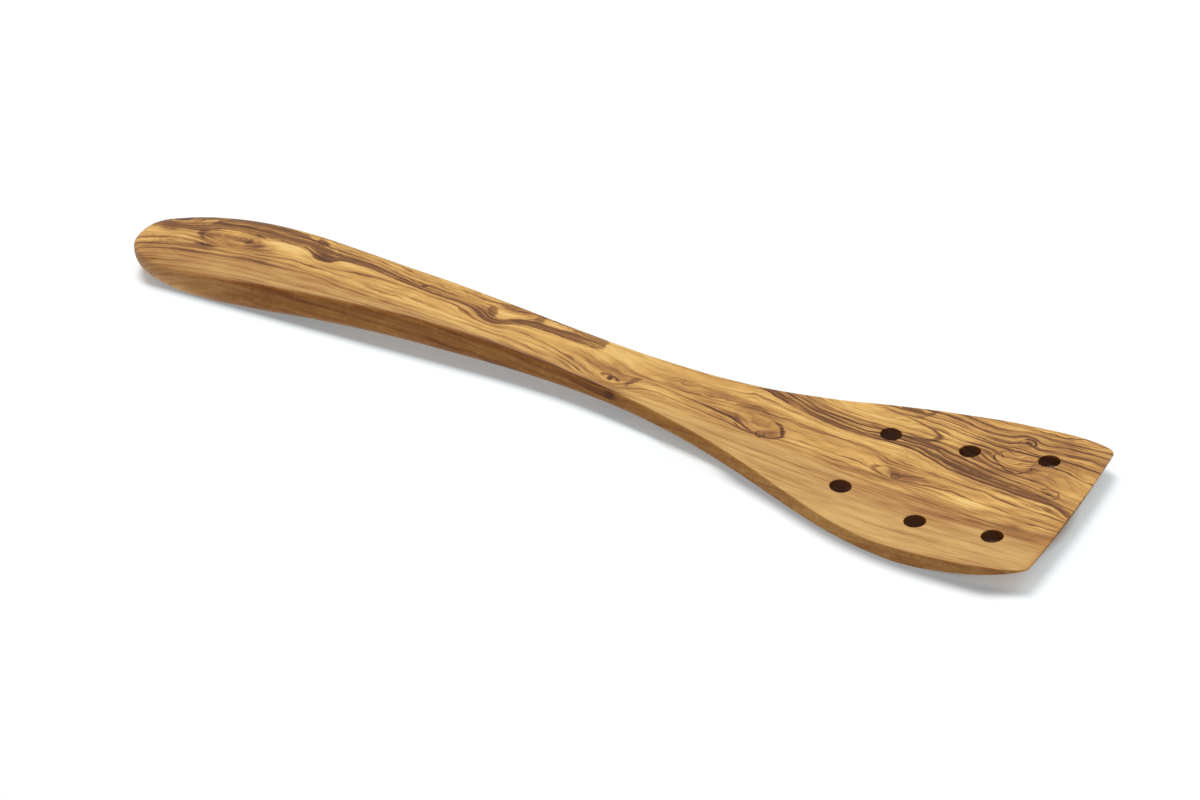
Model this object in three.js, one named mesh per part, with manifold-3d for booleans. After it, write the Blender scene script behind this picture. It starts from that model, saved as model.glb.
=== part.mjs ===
// A flat wooden turner with six drain holes, carved from one board.
// Millimetres, +Z up. It lies as it rests on a table: +X runs from the butt of the handle to the front edge,
// and the origin is under the middle of the length, on the table.

import * as THREE from 'three';
import { mergeVertices } from 'three/addons/utils/BufferGeometryUtils.js';
import Module from 'manifold-3d';

// Lengths along the tool. Those called AT are measured from the butt, and setbacks from the front edge.
const LENGTH = 300;
const GRIP_AT = 37;
const NECK_AT = 139;
const BLADE_SETBACK = 27;

// Widths
const GRIP_WIDTH = 34.4;
const NECK_WIDTH = 20.6;
const BLADE_WIDTH = 70.6;
const FRONT_WIDTH = 60.6;

// Pull of the curves in the plan outline: how far each runs on before it turns.
const BUTT_FULLNESS = 7.6;
const BUTT_SHOULDER_AT = 8;
const GRIP_RUN = 16;
const NECK_RUN_BACK = 50;
const NECK_RUN_AHEAD = 84;
const BLADE_RUN_BACK = 49;
const BLADE_RUN_AHEAD = 16;
const CORNER_DROP = 3.2;
const CORNER_DEPTH = 1;
const FRONT_BULGE = 0.8;

// Side view: the underside bows up between two flat rests and lifts towards the front edge.
const BUTT_NOSE = 8;
const NOSE_HEIGHT = 7.6;
const BUTT_REST_START = 14;
const BUTT_REST_LENGTH = 6;
const BOW_AT = 94;
const BOW_RISE = 5.2;
const BLADE_REST_SETBACK = 39;
const BLADE_REST_LENGTH = 24;
const FRONT_LIFT = 7.2;

// Thicknesses
const BUTT_THICKNESS = 13.3;
const GRIP_THICKNESS = 11.4;
const BLADE_THICKNESS = 4.6;
const FRONT_THICKNESS = 1;

// Pull of the curves in the side view, first the underside and then the top
const BUTT_SLOPE_RUN = 12;
const BUTT_SLOPE_RISE = 0.6;
const BOW_RUN_BACK = 50;
const BOW_RUN_AHEAD = 101;
const BLADE_REST_RUN_BACK = 50;
const BLADE_REST_RUN_AHEAD = 8;
const FRONT_SLOPE_RUN = 14;
const FRONT_SLOPE_RISE = 4.2;
const BUTT_TOP_RUN = 22;
const BUTT_TOP_RISE = 2.8;
const CREST_RUN_BACK = 27;
const CREST_RUN_AHEAD = 46;
const BLADE_TOP_RUN_BACK = 56;
const BLADE_TOP_RUN_AHEAD = 12;
const FRONT_TOP_RUN = 16;
const FRONT_TOP_RISE = 0.9;

// Roundings of the long edges at four places along the tool: how far each reaches inwards and rises upwards.
// The top edge is crisp along the handle, and the underside is rounded broadly.
const EDGE_SETTLES_AT = 60;
const TOP_REACH = { butt: 8, handle: 1.8, neck: 1.5, blade: 0.8 };
const TOP_RISE = { butt: 3.8, handle: 1.6, neck: 1.4, blade: 0.8 };
const UNDER_REACH = { butt: 15, handle: 9, neck: 8, blade: 1.2 };
const UNDER_RISE = { butt: 9, handle: 5.5, neck: 4.2, blade: 1 };
const CROWN = { butt: 0, handle: 0.5, neck: 0.3, blade: 0 };

// Towards the butt both roundings widen over these lengths until they meet, so that the end is egg-shaped.
const TOP_NOSE_RUN = 13;
const UNDER_NOSE_RUN = 26;

// Drain holes: three hand-drilled pairs, counted back from the front edge. A pair may lie a little ahead of
// its place, off the centre line, or askew.
const HOLE_DIAMETER = 6;
const HOLE_SETBACK = 15.6;
const HOLE_PITCH = 23.2;
const HOLE_PAIRS = [
  { spacing: 39.7, ahead: 0, aside: 0, skew: 0 },
  { spacing: 37.4, ahead: 0.9, aside: -2.1, skew: 0 },
  { spacing: 29.4, ahead: 0, aside: 0, skew: 1.9 },
];

// Most of a section's height or half width that its roundings may take up
const MOST_ROUNDED = 0.9;

// Fineness of the faceted surface
const STEPS_ALONG = 56;
const STEPS_NOSE = 10;
const STEPS_TIP = 6;
const STEPS_CORNER = 4;
const STEPS_ACROSS = 6;
const STEPS_HOLE = 32;
const CURVE_SAMPLES = 60;

const WOOD_COLOR = 0xc8965a;
const WOOD_ROUGHNESS = 0.55;

// Places that follow from the sizes above
const bladeAt = LENGTH - BLADE_SETBACK;
const buttRestEnd = BUTT_REST_START + BUTT_REST_LENGTH;
const bladeRestEnd = LENGTH - BLADE_REST_SETBACK;
const bladeRestStart = bladeRestEnd - BLADE_REST_LENGTH;
const bladeTopAt = bladeRestStart + BLADE_REST_LENGTH / 2;
const crestHeight = BOW_RISE + GRIP_THICKNESS;
const frontHeight = FRONT_LIFT + FRONT_THICKNESS;
const cornersStart = bladeAt + BLADE_RUN_AHEAD;

// Turns a path whose x always grows into a function of x.
function heightAlong(path) {
  const points = path.getPoints(CURVE_SAMPLES);
  return (x) => {
    let i = 1;
    while (i < points.length - 1 && points[i].x < x) {
      i += 1;
    }
    const a = points[i - 1];
    const b = points[i];
    return THREE.MathUtils.mapLinear(x, a.x, b.x, a.y, b.y);
  };
}

// Half of the plan outline, from the butt round the near side to the front edge.
function planOutline() {
  const path = new THREE.Path();
  const grip = GRIP_WIDTH / 2;
  const neck = NECK_WIDTH / 2;
  const blade = BLADE_WIDTH / 2;
  const front = FRONT_WIDTH / 2;
  path.moveTo(0, 0);
  path.bezierCurveTo(0, BUTT_FULLNESS, BUTT_SHOULDER_AT, grip, GRIP_AT, grip);
  path.bezierCurveTo(GRIP_AT + GRIP_RUN, grip, NECK_AT - NECK_RUN_BACK, neck, NECK_AT, neck);
  path.bezierCurveTo(NECK_AT + NECK_RUN_AHEAD, neck, bladeAt - BLADE_RUN_BACK, blade, bladeAt, blade);
  path.bezierCurveTo(
    bladeAt + BLADE_RUN_AHEAD, blade, LENGTH - CORNER_DEPTH, front + CORNER_DROP, LENGTH, front);
  return path;
}

// Lower line of the side view
function undersideLine() {
  const path = new THREE.Path();
  path.moveTo(0, NOSE_HEIGHT);
  path.quadraticCurveTo(0, 0, BUTT_REST_START, 0);
  path.lineTo(buttRestEnd, 0);
  path.bezierCurveTo(
    buttRestEnd + BUTT_SLOPE_RUN, BUTT_SLOPE_RISE, BOW_AT - BOW_RUN_BACK, BOW_RISE, BOW_AT, BOW_RISE);
  path.bezierCurveTo(
    BOW_AT + BOW_RUN_AHEAD, BOW_RISE, bladeRestStart - BLADE_REST_RUN_BACK, 0, bladeRestStart, 0);
  path.lineTo(bladeRestEnd, 0);
  path.bezierCurveTo(
    bladeRestEnd + BLADE_REST_RUN_AHEAD, 0,
    LENGTH - FRONT_SLOPE_RUN, FRONT_LIFT - FRONT_SLOPE_RISE, LENGTH, FRONT_LIFT);
  return path;
}

// Upper line of the side view
function topLine() {
  const path = new THREE.Path();
  path.moveTo(0, NOSE_HEIGHT);
  path.quadraticCurveTo(0, BUTT_THICKNESS, BUTT_NOSE, BUTT_THICKNESS);
  path.bezierCurveTo(
    BUTT_NOSE + BUTT_TOP_RUN, BUTT_THICKNESS + BUTT_TOP_RISE,
    BOW_AT - CREST_RUN_BACK, crestHeight, BOW_AT, crestHeight);
  path.bezierCurveTo(
    BOW_AT + CREST_RUN_AHEAD, crestHeight, bladeTopAt - BLADE_TOP_RUN_BACK, BLADE_THICKNESS,
    bladeTopAt, BLADE_THICKNESS);
  path.bezierCurveTo(
    bladeTopAt + BLADE_TOP_RUN_AHEAD, BLADE_THICKNESS,
    LENGTH - FRONT_TOP_RUN, frontHeight - FRONT_TOP_RISE, LENGTH, frontHeight);
  return path;
}

const halfWidthAt = heightAlong(planOutline());
const undersideAt = heightAlong(undersideLine());
const topAt = heightAlong(topLine());

// Blends a size from the butt over the handle and the neck into the blade.
function blendAlong(x, size) {
  const toHandle = THREE.MathUtils.smoothstep(x, BUTT_NOSE, EDGE_SETTLES_AT);
  const toNeck = THREE.MathUtils.smoothstep(x, EDGE_SETTLES_AT, NECK_AT);
  const toBlade = THREE.MathUtils.smoothstep(x, NECK_AT, bladeRestStart);
  const handle = THREE.MathUtils.lerp(size.butt, size.handle, toHandle);
  const neck = THREE.MathUtils.lerp(handle, size.neck, toNeck);
  return THREE.MathUtils.lerp(neck, size.blade, toBlade);
}

// How far a rounding reaches inwards: its own size along the handle, and the whole half width at the butt.
function reachAt(x, size, halfWidth, noseRun) {
  const reach = Math.min(blendAlong(x, size), MOST_ROUNDED * halfWidth);
  return THREE.MathUtils.lerp(halfWidth, reach, THREE.MathUtils.smoothstep(x, 0, noseRun));
}

// One closed section across the tool: a rounded rectangle, crowned on top and broadly rounded below.
function sectionAt(x) {
  const halfWidth = halfWidthAt(x);
  const bottom = undersideAt(x);
  const top = topAt(x);
  const crown = blendAlong(x, CROWN);
  const bulge = FRONT_BULGE * THREE.MathUtils.smoothstep(x, bladeRestEnd, LENGTH);
  const rises = blendAlong(x, TOP_RISE) + blendAlong(x, UNDER_RISE);
  const fitsHeight = Math.min(1, (MOST_ROUNDED * (top - bottom)) / rises);
  const topRise = blendAlong(x, TOP_RISE) * fitsHeight;
  const bottomRise = blendAlong(x, UNDER_RISE) * fitsHeight;
  const topFlat = halfWidth - reachAt(x, TOP_REACH, halfWidth, TOP_NOSE_RUN);
  const underFlat = halfWidth - reachAt(x, UNDER_REACH, halfWidth, UNDER_NOSE_RUN);
  const points = [];
  const corner = (side, flat, height, rise, startAngle) => {
    const reach = halfWidth - flat;
    for (let i = 0; i <= STEPS_CORNER; i += 1) {
      const angle = startAngle + (i / STEPS_CORNER) * (Math.PI / 2);
      const across = side * flat + reach * Math.cos(angle);
      points.push(new THREE.Vector3(x, across, height + rise * Math.sin(angle)));
    }
  };
  corner(1, topFlat, top - topRise, topRise, 0);
  for (let i = 1; i < STEPS_ACROSS; i += 1) {
    const across = 1 - (2 * i) / STEPS_ACROSS;
    points.push(new THREE.Vector3(x, topFlat * across, top + crown * (1 - across ** 2)));
  }
  corner(-1, topFlat, top - topRise, topRise, Math.PI / 2);
  corner(-1, underFlat, bottom + bottomRise, bottomRise, Math.PI);
  for (let i = 1; i < STEPS_ACROSS; i += 1) {
    points.push(new THREE.Vector3(x, underFlat * ((2 * i) / STEPS_ACROSS - 1), bottom));
  }
  corner(1, underFlat, bottom + bottomRise, bottomRise, 1.5 * Math.PI);
  points.forEach((point) => {
    point.x -= bulge * (point.y / halfWidth) ** 2;
  });
  return points;
}

// Stations of the sections: close together round the butt and the front corners, and on the rests' ends.
function stationsAlong() {
  const stations = [buttRestEnd, bladeRestStart, bladeRestEnd];
  for (let i = 1; i <= STEPS_NOSE; i += 1) {
    stations.push(BUTT_REST_START * (i / STEPS_NOSE) ** 2);
  }
  for (let i = 1; i < STEPS_ALONG; i += 1) {
    stations.push(THREE.MathUtils.lerp(BUTT_REST_START, cornersStart, i / STEPS_ALONG));
  }
  for (let i = 0; i <= STEPS_TIP; i += 1) {
    stations.push(LENGTH - (LENGTH - cornersStart) * (i / STEPS_TIP) ** 2);
  }
  stations.sort((a, b) => a - b);
  return stations;
}

// Skin over all the sections, closed by a point at the butt and a narrow face along the front edge.
function bodyGeometry() {
  const sections = stationsAlong().map(sectionAt);
  const count = sections[0].length;
  const frontCentre = new THREE.Vector3(LENGTH, 0, FRONT_LIFT + FRONT_THICKNESS / 2);
  const vertices = [new THREE.Vector3(0, 0, NOSE_HEIGHT), ...sections.flat(), frontCentre];
  const last = vertices.length - 1;
  const triangles = [];
  for (let j = 0; j < count; j += 1) {
    const next = (j + 1) % count;
    triangles.push(0, 1 + next, 1 + j);
    triangles.push(last, last - count + j, last - count + next);
    for (let i = 0; i < sections.length - 1; i += 1) {
      const here = 1 + i * count;
      const ahead = here + count;
      triangles.push(here + j, here + next, ahead + j);
      triangles.push(here + next, ahead + next, ahead + j);
    }
  }
  const geometry = new THREE.BufferGeometry();
  const coordinates = vertices.flatMap((vertex) => vertex.toArray());
  geometry.setAttribute('position', new THREE.Float32BufferAttribute(coordinates, 3));
  geometry.setIndex(triangles);
  return geometry;
}

// A straight drill, upright through the blade
function drillGeometry(x, y) {
  const depth = 2 * (frontHeight + HOLE_DIAMETER);
  const geometry = new THREE.CylinderGeometry(HOLE_DIAMETER / 2, HOLE_DIAMETER / 2, depth, STEPS_HOLE);
  geometry.rotateX(Math.PI / 2);
  geometry.translate(x, y, 0);
  return geometry;
}

const wasm = await Module();
wasm.setup();

function toSolid(geometry) {
  const bare = geometry.clone();
  bare.deleteAttribute('normal');
  bare.deleteAttribute('uv');
  const merged = mergeVertices(bare);
  return new wasm.Manifold(new wasm.Mesh({
    numProp: 3,
    vertProperties: new Float32Array(merged.attributes.position.array),
    triVerts: new Uint32Array(merged.index.array),
  }));
}

function toGeometry(solid) {
  const mesh = solid.getMesh();
  const geometry = new THREE.BufferGeometry();
  geometry.setAttribute('position', new THREE.Float32BufferAttribute(mesh.vertProperties, mesh.numProp));
  geometry.setIndex(Array.from(mesh.triVerts));
  geometry.computeVertexNormals();
  return geometry;
}

let body = toSolid(bodyGeometry());
HOLE_PAIRS.forEach(({ spacing, ahead, aside, skew }, pair) => {
  const x = LENGTH - HOLE_SETBACK - pair * HOLE_PITCH + ahead;
  for (const side of [-1, 1]) {
    const drill = drillGeometry(x + (side * skew) / 2, aside + (side * spacing) / 2);
    body = body.subtract(toSolid(drill));
  }
});

const wood = new THREE.MeshStandardMaterial({
  color: WOOD_COLOR,
  roughness: WOOD_ROUGHNESS,
  metalness: 0,
  name: 'olive_wood',
});

const spatula = new THREE.Group();
const spatulaBody = new THREE.Mesh(toGeometry(body), wood);
spatulaBody.name = 'spatula_body';
spatulaBody.position.x = -LENGTH / 2;
spatula.add(spatulaBody);

export default spatula;
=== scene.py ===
import math

import bpy
import numpy as np
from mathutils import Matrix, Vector


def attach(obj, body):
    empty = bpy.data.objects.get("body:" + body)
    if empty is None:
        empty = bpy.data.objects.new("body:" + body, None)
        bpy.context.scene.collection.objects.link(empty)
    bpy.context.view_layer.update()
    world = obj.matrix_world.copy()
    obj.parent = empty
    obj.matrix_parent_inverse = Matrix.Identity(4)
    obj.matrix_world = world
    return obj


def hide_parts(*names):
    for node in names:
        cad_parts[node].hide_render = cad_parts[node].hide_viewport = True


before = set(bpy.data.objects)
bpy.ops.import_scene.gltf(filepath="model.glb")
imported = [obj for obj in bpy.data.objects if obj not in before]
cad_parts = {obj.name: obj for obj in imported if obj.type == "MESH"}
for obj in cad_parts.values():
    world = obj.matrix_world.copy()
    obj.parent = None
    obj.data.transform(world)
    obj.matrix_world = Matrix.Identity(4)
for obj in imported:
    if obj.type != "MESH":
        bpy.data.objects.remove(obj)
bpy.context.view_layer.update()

# A flat olive-wood turner with six drain holes, carved from one board.
# Sizes are in millimetres, measured along the tool from its butt, and MM turns them into Blender's metres.
# +X runs from the butt to the front edge, and the origin is under the middle of the length.

MM = 0.001

# Lengths along the tool
LENGTH = 300
GRIP_AT = 37
NECK_AT = 139
BLADE_AT = LENGTH - 27

# Half widths
GRIP = 17.2
NECK = 10.3
BLADE = 35.3
FRONT = 30.3

# How the plan's curves come in to a place and go out from it: run and rise
BUTT_OUT = (0, 7.6)
GRIP_IN = (29, 0)
GRIP_OUT = (16, 0)
NECK_IN = (50, 0)
NECK_OUT = (84, 0)
BLADE_IN = (49, 0)
BLADE_OUT = (16, 0)
FRONT_IN = (1, -3.2)

# Side view
NOSE_HEIGHT = 7.6
BUTT_TOP = 13.3
BUTT_REST_START = 14
BUTT_REST_END = 20
BOW_AT = 94
BOW_RISE = 5.2
CREST = BOW_RISE + 11.4
BLADE_REST_START = LENGTH - 63
BLADE_REST_END = LENGTH - 39
BLADE_TOP_AT = (BLADE_REST_START + BLADE_REST_END) / 2
BLADE_TOP = 4.6
FRONT_LIFT = 7.2
FRONT_TOP = FRONT_LIFT + 1
FRONT_BULGE = 0.8

# How the side view's curves come in and go out
BUTT_REST_OUT = (12, 0.6)
BOW_IN = (50, 0)
BOW_OUT = (101, 0)
BLADE_REST_IN = (50, 0)
BLADE_REST_OUT = (8, 0)
FRONT_LIFT_IN = (14, 4.2)
BUTT_TOP_OUT = (22, 2.8)
CREST_IN = (27, 0)
CREST_OUT = (46, 0)
BLADE_TOP_IN = (56, 0)
BLADE_TOP_OUT = (12, 0)
FRONT_TOP_IN = (16, 0.9)

# Roundings of the long edges at the butt, the handle, the neck and the blade
BUTT_NOSE = 8
EDGE_SETTLES_AT = 60
TOP_REACH = (8, 1.8, 1.5, 0.8)
TOP_RISE = (3.8, 1.6, 1.4, 0.8)
UNDER_REACH = (15, 9, 8, 1.2)
UNDER_RISE = (9, 5.5, 4.2, 1)
CROWN = (0, 0.5, 0.3, 0)
MOST_ROUNDED = 0.9
TOP_NOSE_RUN = 13
UNDER_NOSE_RUN = 26

# Drain holes: each pair's place along the tool, spacing across it, offset and skew
HOLE_RADIUS = 3
HOLE_PAIRS = (
    (LENGTH - 15.6, 39.7, 0, 0),
    (LENGTH - 37.9, 37.4, -2.1, 0),
    (LENGTH - 62, 29.4, 0, 1.9),
)

# Rims of the holes: rounding and the degrees that it is built from, seed of their wear, its size, lobes and
# the range of their turns, its share in the bore, and how far a drill stands clear of the wood
RIM_ROUNDING = 0.45
RIM_DEGREES = (0, 18, 36, 54, 70)
WEAR_SEED = 7
RIM_WEAR = 0.12
WEAR_LOBES = (2, 3, 5)
LOBE_TURN = 6.3
BORE_WEAR = 0.25
DRILL_CLEARANCE = 1.0

# Sanding: seed of its waves, least and most that it takes off, how many waves it has, and how long they are
# along the tool and across it
SANDING_SEED = 3
LEAST_SANDED = 0.01
MOST_SANDED = 0.16
WAVE_COUNT = 5
WAVE_RUN = (3, 9)
WAVE_SPREAD = (2.5, 6)

# Fineness of the surface
STEPS_CURVE = 240
STEP_ALONG = 0.7
STEPS_NOSE = 14
STEPS_TIP = 16
TIP_RUN = 11
STEPS_TOP = 104
STEPS_UNDER = 32
STEPS_TOP_CORNER = 8
STEPS_UNDER_CORNER = 10
STEPS_SIDE = 5
STEPS_HOLE = 64
SHARP_ANGLE = math.radians(50)


def cubic(start, pull_start, pull_end, end):
    """Points along a Bezier curve."""
    t = np.linspace(0, 1, STEPS_CURVE)[:, None]
    start, pull_start, pull_end, end = (np.array(p, float) for p in (start, pull_start, pull_end, end))
    ends = (1 - t) ** 3 * start + t**3 * end
    return ends + 3 * t * (1 - t) * ((1 - t) * pull_start + t * pull_end)


def quadratic(start, pull, end):
    """Points along a curve with one pull point."""
    start, pull, end = (np.array(p, float) for p in (start, pull, end))
    return cubic(start, start + (pull - start) * 2 / 3, end + (pull - end) * 2 / 3, end)


def swept(start, leaving, coming, end):
    """Points along a curve that leaves its start and comes to its end by these runs and rises."""
    return cubic(start, np.add(start, leaving), np.subtract(end, coming), end)


def along(*curves):
    """Turns joined curves whose x always grows into a function of x."""
    points = np.vstack(curves)
    return lambda x: np.interp(x, points[:, 0], points[:, 1])


half_width_at = along(
    swept((0, 0), BUTT_OUT, GRIP_IN, (GRIP_AT, GRIP)),
    swept((GRIP_AT, GRIP), GRIP_OUT, NECK_IN, (NECK_AT, NECK)),
    swept((NECK_AT, NECK), NECK_OUT, BLADE_IN, (BLADE_AT, BLADE)),
    swept((BLADE_AT, BLADE), BLADE_OUT, FRONT_IN, (LENGTH, FRONT)),
)
underside_at = along(
    quadratic((0, NOSE_HEIGHT), (0, 0), (BUTT_REST_START, 0)),
    swept((BUTT_REST_END, 0), BUTT_REST_OUT, BOW_IN, (BOW_AT, BOW_RISE)),
    swept((BOW_AT, BOW_RISE), BOW_OUT, BLADE_REST_IN, (BLADE_REST_START, 0)),
    swept((BLADE_REST_END, 0), BLADE_REST_OUT, FRONT_LIFT_IN, (LENGTH, FRONT_LIFT)),
)
top_at = along(
    quadratic((0, NOSE_HEIGHT), (0, BUTT_TOP), (BUTT_NOSE, BUTT_TOP)),
    swept((BUTT_NOSE, BUTT_TOP), BUTT_TOP_OUT, CREST_IN, (BOW_AT, CREST)),
    swept((BOW_AT, CREST), CREST_OUT, BLADE_TOP_IN, (BLADE_TOP_AT, BLADE_TOP)),
    swept((BLADE_TOP_AT, BLADE_TOP), BLADE_TOP_OUT, FRONT_TOP_IN, (LENGTH, FRONT_TOP)),
)


def smoothstep(x, low, high):
    t = np.clip((x - low) / (high - low), 0, 1)
    return t * t * (3 - 2 * t)


def blend_along(x, sizes):
    """Blends a size from the butt over the handle and the neck into the blade."""
    butt, handle, neck, blade = sizes
    size = butt + (handle - butt) * smoothstep(x, BUTT_NOSE, EDGE_SETTLES_AT)
    size = size + (neck - size) * smoothstep(x, EDGE_SETTLES_AT, NECK_AT)
    return size + (blade - size) * smoothstep(x, NECK_AT, BLADE_REST_START)


def reach_at(x, sizes, half_width, nose_run):
    """How far a rounding reaches inwards: by its own size, but by the whole half width at the butt."""
    reach = min(blend_along(x, sizes), MOST_ROUNDED * half_width)
    return half_width + (reach - half_width) * smoothstep(x, 0, nose_run)


def section_at(x):
    """One closed ring of points across the tool, from the far edge over the top to the near side and back."""
    half_width = half_width_at(x)
    bottom = underside_at(x)
    top = top_at(x)
    top_rise = blend_along(x, TOP_RISE)
    under_rise = blend_along(x, UNDER_RISE)
    fits = min(1, MOST_ROUNDED * (top - bottom) / (top_rise + under_rise))
    top_rise *= fits
    under_rise *= fits
    top_reach = reach_at(x, TOP_REACH, half_width, TOP_NOSE_RUN)
    under_reach = reach_at(x, UNDER_REACH, half_width, UNDER_NOSE_RUN)
    top_flat = half_width - top_reach
    under_flat = half_width - under_reach

    def corner(quarter, side, flat, reach, height, rise, steps):
        angle = quarter * math.pi / 2 + np.linspace(0, math.pi / 2, steps + 1)
        return np.stack([side * flat + reach * np.cos(angle), height + rise * np.sin(angle)], 1)

    def inside(steps):
        return np.linspace(0, 1, steps + 1)[1:-1]

    across = 1 - 2 * inside(STEPS_TOP)
    crown = blend_along(x, CROWN) * (1 - across**2)
    over_top = np.stack([top_flat * across, top + crown], 1)
    below = under_flat * (2 * inside(STEPS_UNDER) - 1)
    under = np.stack([below, np.full_like(below, bottom)], 1)
    up_side = bottom + under_rise + (top - top_rise - bottom - under_rise) * inside(STEPS_SIDE)
    side = np.stack([np.full_like(up_side, half_width), up_side], 1)
    mirror = np.array([-1, 1])
    upper = (top_flat, top_reach, top - top_rise, top_rise, STEPS_TOP_CORNER)
    lower = (under_flat, under_reach, bottom + under_rise, under_rise, STEPS_UNDER_CORNER)
    ring = np.vstack([
        corner(0, 1, *upper),
        over_top,
        corner(1, -1, *upper),
        side[::-1] * mirror,
        corner(2, -1, *lower),
        under,
        corner(3, 1, *lower),
        side,
    ])
    bulge = FRONT_BULGE * smoothstep(x, BLADE_REST_END, LENGTH)
    ahead = x - bulge * (ring[:, 0] / half_width) ** 2
    return np.column_stack([ahead, ring])


def stations():
    """Places of the sections: close together round the butt and the front corners."""
    nose = BUTT_REST_START * (np.arange(1, STEPS_NOSE) / STEPS_NOSE) ** 2
    tip = LENGTH - TIP_RUN * (np.arange(STEPS_TIP, -1, -1) / STEPS_TIP) ** 2
    middle = np.arange(BUTT_REST_START, LENGTH - TIP_RUN - STEP_ALONG / 2, STEP_ALONG)
    return np.concatenate([nose, middle, tip])


def placed(points):
    """Points measured from the butt, in the shared frame and in metres."""
    return (np.asarray(points, float) - (LENGTH / 2, 0, 0)) * MM


def new_object(name, points, faces):
    mesh = bpy.data.meshes.new(name)
    mesh.from_pydata(points.tolist(), [], faces)
    mesh.validate()
    piece = bpy.data.objects.new(name, mesh)
    bpy.context.scene.collection.objects.link(piece)
    return piece


def ring_faces(rings, count, first):
    """Quads between neighbouring rings of points."""
    faces = []
    for i in range(rings - 1):
        here = first + i * count
        for j in range(count):
            after = (j + 1) % count
            faces.append((here + j, here + after, here + count + after, here + count + j))
    return faces


def hand_finished(section, waves):
    """Takes a little off a section all round, unevenly, as sanding by hand does."""
    off = np.full(len(section), LEAST_SANDED)
    for run, spread, start in waves:
        wave = np.sin(section[:, 0] / run + section[:, 1] / spread + section[:, 2] / spread + start)
        off += (MOST_SANDED - LEAST_SANDED) * (1 + wave) / (2 * len(waves))
    tangent = np.roll(section, -1, 0) - np.roll(section, 1, 0)
    outward = np.column_stack([np.zeros(len(section)), tangent[:, 2], -tangent[:, 1]])
    outward /= np.linalg.norm(outward, axis=1)[:, None]
    return section - off[:, None] * outward


def carved_blank():
    """The whole tool before it is drilled."""
    rng = np.random.default_rng(SANDING_SEED)
    ranges = (WAVE_RUN, WAVE_SPREAD, (0, 2 * math.pi))
    waves = [[rng.uniform(*span) for span in ranges] for _ in range(WAVE_COUNT)]
    sections = [hand_finished(section_at(x), waves) for x in stations()]
    count = len(sections[0])
    nose = (0, 0, NOSE_HEIGHT)
    points = np.vstack([[nose], *sections])
    last = len(points) - count
    faces = ring_faces(len(sections), count, 1)
    faces += [(0, 1 + (j + 1) % count, 1 + j) for j in range(count)]
    faces.append(tuple(range(last, last + count)))
    return new_object("spatula", placed(points), faces)


def hole_centres():
    for ahead, spacing, aside, skew in HOLE_PAIRS:
        for side in (-1, 1):
            yield ahead + side * skew / 2, aside + side * spacing / 2


def drill(x, y, rng):
    """A cutter for one hole, flared where it meets both faces so that the rims come out rounded and worn."""
    angle = np.linspace(0, 2 * math.pi, STEPS_HOLE, endpoint=False)
    wobble = np.zeros(STEPS_HOLE)
    for lobe in WEAR_LOBES:
        size = rng.normal(0, RIM_WEAR / lobe)
        wobble += size * np.cos(lobe * angle + rng.uniform(0, LOBE_TURN))
    turn = np.radians(RIM_DEGREES)
    flare = RIM_ROUNDING * (1 - np.cos(turn))
    depth = RIM_ROUNDING * (1 - np.sin(turn))

    def ring(out, surface, height):
        spread = HOLE_RADIUS + out * (1 + wobble) + BORE_WEAR * wobble
        px = x + spread * np.cos(angle)
        return np.column_stack([px, y + spread * np.sin(angle), surface(px) + height])

    outward = flare[-1] + DRILL_CLEARANCE * math.tan(turn[-1])
    rings = [ring(outward, underside_at, -DRILL_CLEARANCE)]
    rings += [ring(f, underside_at, d) for f, d in zip(flare[::-1], depth[::-1])]
    rings += [ring(f, top_at, -d) for f, d in zip(flare, depth)]
    rings.append(ring(outward, top_at, DRILL_CLEARANCE))
    count = len(angle)
    faces = ring_faces(len(rings), count, 0)
    faces.append(tuple(range(count))[::-1])
    faces.append(tuple(range((len(rings) - 1) * count, len(rings) * count)))
    return new_object("drill", placed(np.vstack(rings)), faces)


def drilled_body():
    body = carved_blank()
    rng = np.random.default_rng(WEAR_SEED)
    for x, y in hole_centres():
        cutter = drill(x, y, rng)
        cut = body.modifiers.new("hole", "BOOLEAN")
        cut.operation = "DIFFERENCE"
        cut.solver = "MANIFOLD"
        cut.object = cutter
        evaluated = body.evaluated_get(bpy.context.evaluated_depsgraph_get())
        mesh = bpy.data.meshes.new_from_object(evaluated)
        body.modifiers.clear()
        old = body.data
        body.data = mesh
        bpy.data.meshes.remove(old)
        bpy.data.objects.remove(cutter)
    body.data.name = "spatula"
    body.data.materials.clear()
    body.data.shade_smooth()
    body.data.set_sharp_from_angle(angle=SHARP_ANGLE)
    return body


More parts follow.
